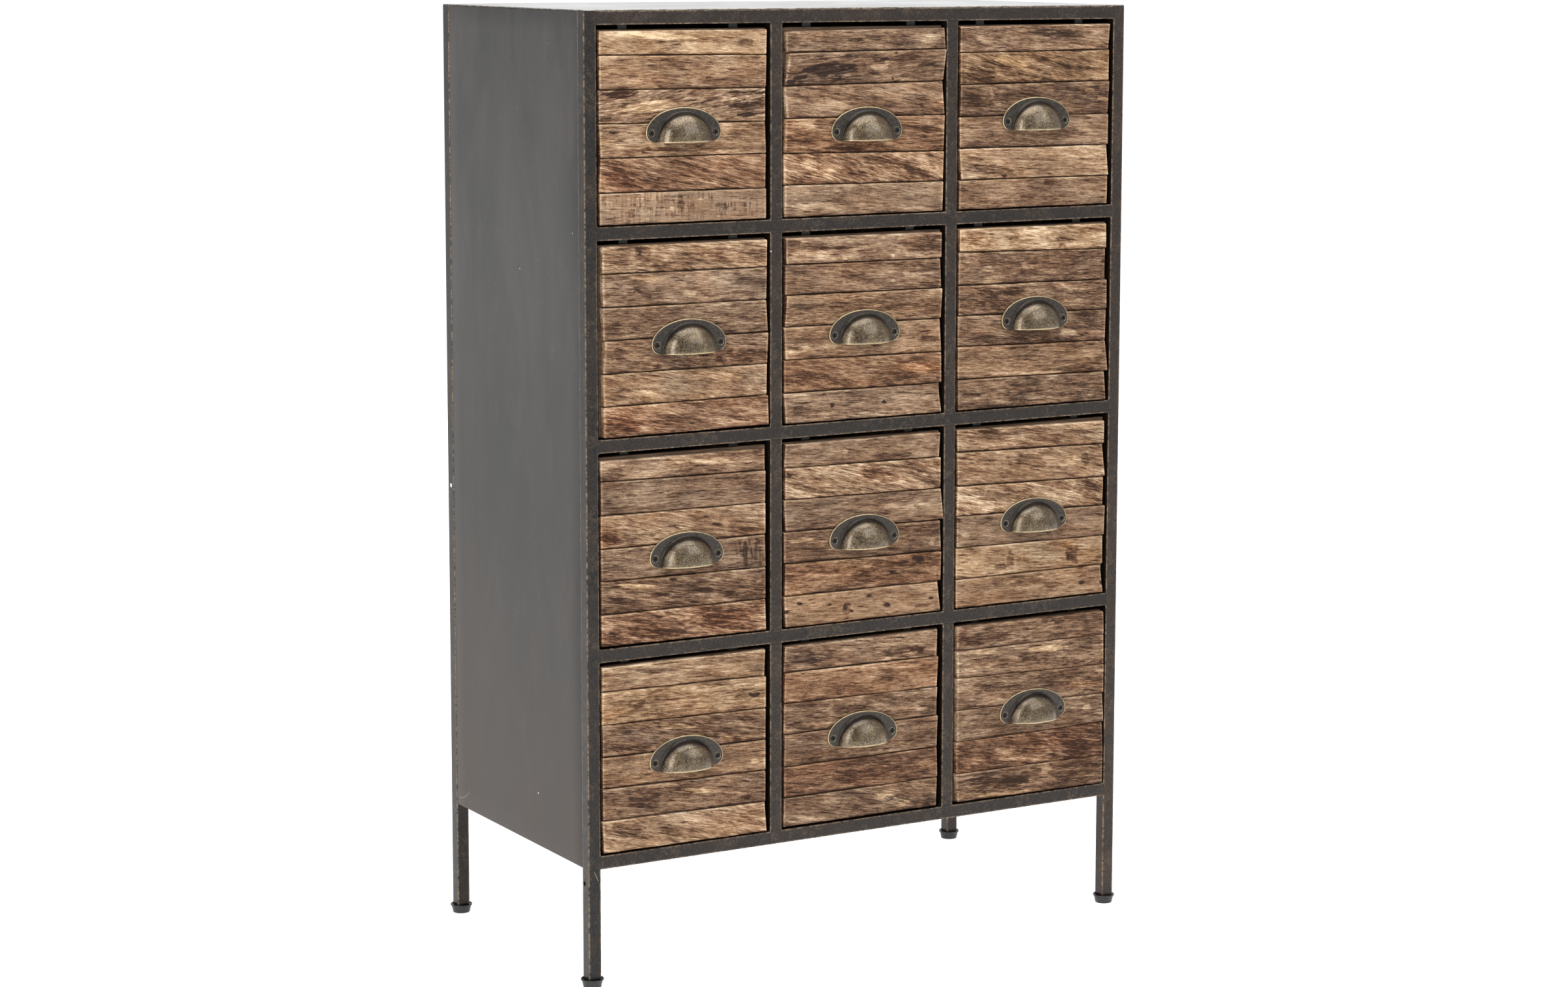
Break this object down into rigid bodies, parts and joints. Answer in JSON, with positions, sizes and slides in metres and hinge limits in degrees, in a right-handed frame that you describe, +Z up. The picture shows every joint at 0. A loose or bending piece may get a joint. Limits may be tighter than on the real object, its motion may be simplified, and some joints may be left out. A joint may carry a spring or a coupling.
{
  "type": "chest of drawers",
  "caption": "Floor-standing chest of small drawers: welded square-tube steel frame with sheet sides, slatted reclaimed-wood fronts and pressed cup pulls.",
  "frame": {"origin": "on the floor, under the middle of the whole object's bounding box", "axes": "+Z up, -Y out through the drawer fronts, +X to the right of someone facing the drawers"},
  "size_m": [0.7104, 0.3872, 1.07],
  "materials": {
    "frame_steel": "dark gunmetal lacquer over steel, rubbed to brass-coloured edges and speckle",
    "sheet_steel": "satin grey-brown lacquered sheet with soft clouding",
    "bare_steel": "dull dark steel",
    "reclaimed_wood": "waxed reclaimed boards, each of its own tone and grain",
    "box_wood": "plain oiled softwood",
    "antique_brass": "antique brass, dark in the hollows and rubbed bright at the rims",
    "screw_steel": "blackened steel",
    "foot_plastic": "black satin plastic"
  },
  "bodies": {
    "root": {"corner_posts": "frame_steel", "front_rails": "frame_steel", "front_mullions": "frame_steel", "rear_frame": "frame_steel", "left_side_panel": "sheet_steel", "right_side_panel": "sheet_steel", "back_panel": "sheet_steel", "top_panel": "sheet_steel", "bottom_panel": "sheet_steel", "drawer_runners": "bare_steel", "stop_straps": "bare_steel", "foot_caps": "foot_plastic"},
    "top_left_drawer": {"top_left_drawer_box": "box_wood", "top_left_slats": "reclaimed_wood", "top_left_cup_pull": "antique_brass", "top_left_pull_screws": "screw_steel"},
    "top_middle_drawer": {"top_middle_drawer_box": "box_wood", "top_middle_slats": "reclaimed_wood", "top_middle_cup_pull": "antique_brass", "top_middle_pull_screws": "screw_steel"},
    "top_right_drawer": {"top_right_drawer_box": "box_wood", "top_right_slats": "reclaimed_wood", "top_right_cup_pull": "antique_brass", "top_right_pull_screws": "screw_steel"},
    "upper_left_drawer": {"upper_left_drawer_box": "box_wood", "upper_left_slats": "reclaimed_wood", "upper_left_cup_pull": "antique_brass", "upper_left_pull_screws": "screw_steel"},
    "upper_middle_drawer": {"upper_middle_drawer_box": "box_wood", "upper_middle_slats": "reclaimed_wood", "upper_middle_cup_pull": "antique_brass", "upper_middle_pull_screws": "screw_steel"},
    "upper_right_drawer": {"upper_right_drawer_box": "box_wood", "upper_right_slats": "reclaimed_wood", "upper_right_cup_pull": "antique_brass", "upper_right_pull_screws": "screw_steel"},
    "lower_left_drawer": {"lower_left_drawer_box": "box_wood", "lower_left_slats": "reclaimed_wood", "lower_left_cup_pull": "antique_brass", "lower_left_pull_screws": "screw_steel"},
    "lower_middle_drawer": {"lower_middle_drawer_box": "box_wood", "lower_middle_slats": "reclaimed_wood", "lower_middle_cup_pull": "antique_brass", "lower_middle_pull_screws": "screw_steel"},
    "lower_right_drawer": {"lower_right_drawer_box": "box_wood", "lower_right_slats": "reclaimed_wood", "lower_right_cup_pull": "antique_brass", "lower_right_pull_screws": "screw_steel"},
    "bottom_left_drawer": {"bottom_left_drawer_box": "box_wood", "bottom_left_slats": "reclaimed_wood", "bottom_left_cup_pull": "antique_brass", "bottom_left_pull_screws": "screw_steel"},
    "bottom_middle_drawer": {"bottom_middle_drawer_box": "box_wood", "bottom_middle_slats": "reclaimed_wood", "bottom_middle_cup_pull": "antique_brass", "bottom_middle_pull_screws": "screw_steel"},
    "bottom_right_drawer": {"bottom_right_drawer_box": "box_wood", "bottom_right_slats": "reclaimed_wood", "bottom_right_cup_pull": "antique_brass", "bottom_right_pull_screws": "screw_steel"}
  },
  "joints": [
    {"name": "top_left_drawer_slide", "type": "slide", "parent": "root", "child": "top_left_drawer", "axis": [0, -1, 0], "range_m": [0, 0.2865]},
    {"name": "top_middle_drawer_slide", "type": "slide", "parent": "root", "child": "top_middle_drawer", "axis": [0, -1, 0], "range_m": [0, 0.2865]},
    {"name": "top_right_drawer_slide", "type": "slide", "parent": "root", "child": "top_right_drawer", "axis": [0, -1, 0], "range_m": [0, 0.2865]},
    {"name": "upper_left_drawer_slide", "type": "slide", "parent": "root", "child": "upper_left_drawer", "axis": [0, -1, 0], "range_m": [0, 0.2865]},
    {"name": "upper_middle_drawer_slide", "type": "slide", "parent": "root", "child": "upper_middle_drawer", "axis": [0, -1, 0], "range_m": [0, 0.2865]},
    {"name": "upper_right_drawer_slide", "type": "slide", "parent": "root", "child": "upper_right_drawer", "axis": [0, -1, 0], "range_m": [0, 0.2865]},
    {"name": "lower_left_drawer_slide", "type": "slide", "parent": "root", "child": "lower_left_drawer", "axis": [0, -1, 0], "range_m": [0, 0.2865]},
    {"name": "lower_middle_drawer_slide", "type": "slide", "parent": "root", "child": "lower_middle_drawer", "axis": [0, -1, 0], "range_m": [0, 0.2865]},
    {"name": "lower_right_drawer_slide", "type": "slide", "parent": "root", "child": "lower_right_drawer", "axis": [0, -1, 0], "range_m": [0, 0.2865]},
    {"name": "bottom_left_drawer_slide", "type": "slide", "parent": "root", "child": "bottom_left_drawer", "axis": [0, -1, 0], "range_m": [0, 0.2865]},
    {"name": "bottom_middle_drawer_slide", "type": "slide", "parent": "root", "child": "bottom_middle_drawer", "axis": [0, -1, 0], "range_m": [0, 0.2865]},
    {"name": "bottom_right_drawer_slide", "type": "slide", "parent": "root", "child": "bottom_right_drawer", "axis": [0, -1, 0], "range_m": [0, 0.2865]}
  ]
}
